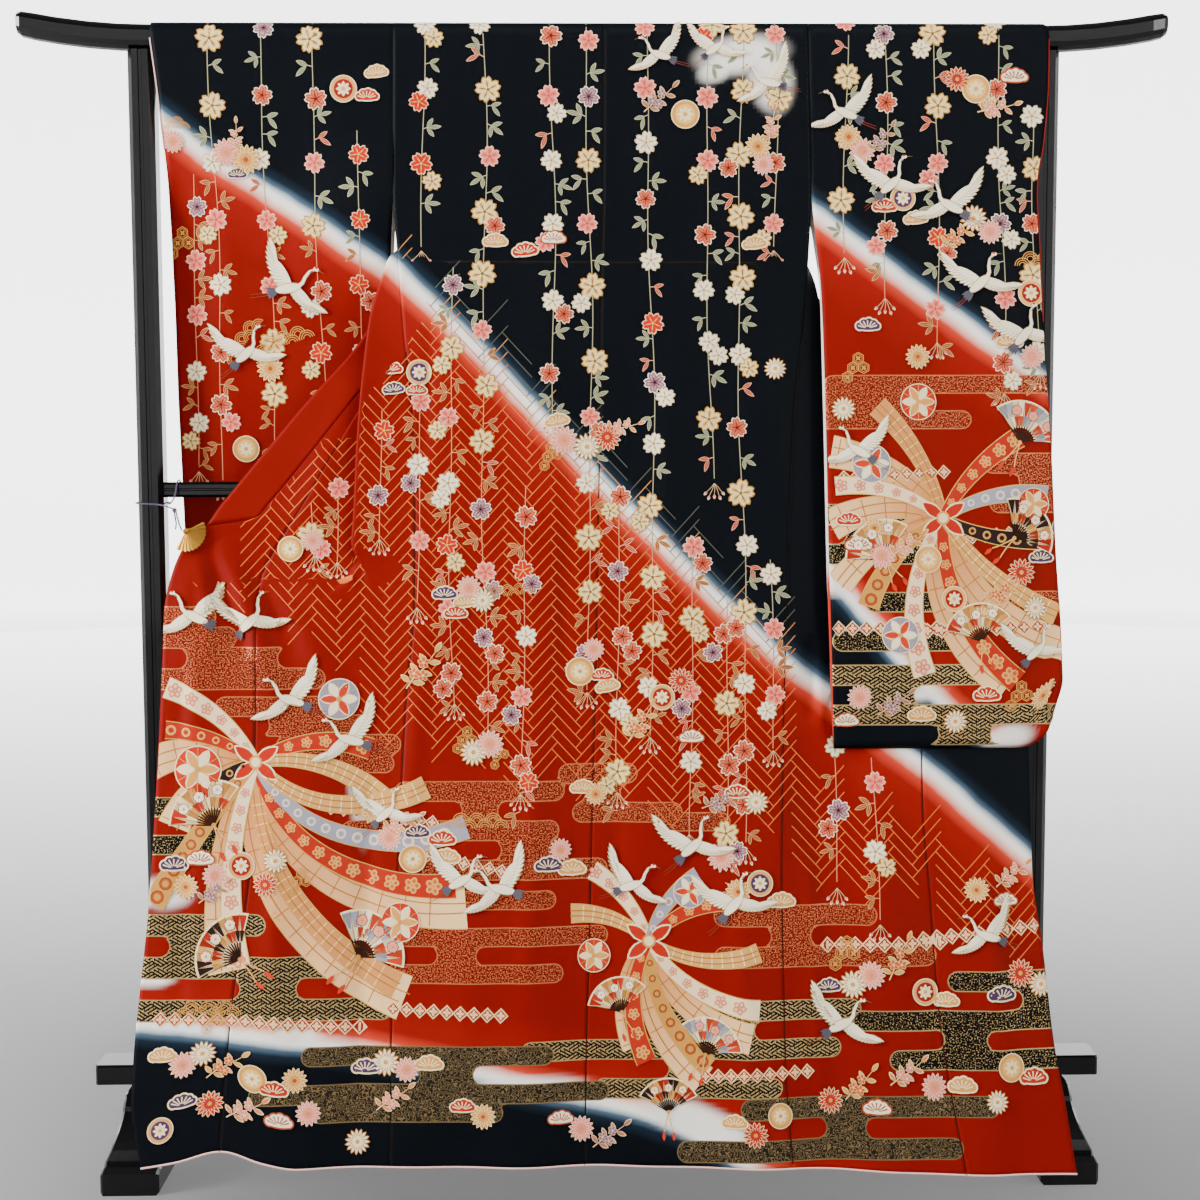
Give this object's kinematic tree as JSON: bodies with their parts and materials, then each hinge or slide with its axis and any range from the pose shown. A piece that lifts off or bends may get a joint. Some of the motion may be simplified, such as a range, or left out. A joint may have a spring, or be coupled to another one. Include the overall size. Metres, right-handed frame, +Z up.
{
  "type": "furisode on kimono stand",
  "caption": "Long-sleeved furisode kimono spread back-first over a black lacquered kimono stand, fronts drawn out to both sides, with a fan-shaped clip.",
  "frame": {"origin": "centre of the bounding box on the surface that the stand's feet rest on", "axes": "+X to the viewer's right along the rails, +Y away from the viewer, +Z up"},
  "size_m": [1.7, 0.4202, 1.7063],
  "materials": {
    "body_silk": "dyed silk satin crepe, navy black above a white and vermilion diagonal",
    "okumi_silk": "dyed silk satin crepe, vermilion",
    "collar_silk": "plain vermilion silk crepe",
    "sleeve_silk": "dyed silk satin crepe, navy black to vermilion",
    "lacquer": "black lacquer, high gloss",
    "gilt": "polished gilt brass",
    "tie_cord": "fine purple twisted cord"
  },
  "bodies": {
    "root": {"body_left": "body_silk", "body_right": "body_silk", "okumi_left": "okumi_silk", "okumi_right": "okumi_silk", "collar": "collar_silk", "sleeve_left": "sleeve_silk", "sleeve_right": "sleeve_silk", "top_rail": "lacquer", "mid_rail": "lacquer", "bottom_beam": "lacquer", "post_left": "lacquer", "post_right": "lacquer", "foot_left": "lacquer", "foot_right": "lacquer", "fan_clip": "gilt", "clip_cord": "tie_cord"}
  },
  "joints": []
}
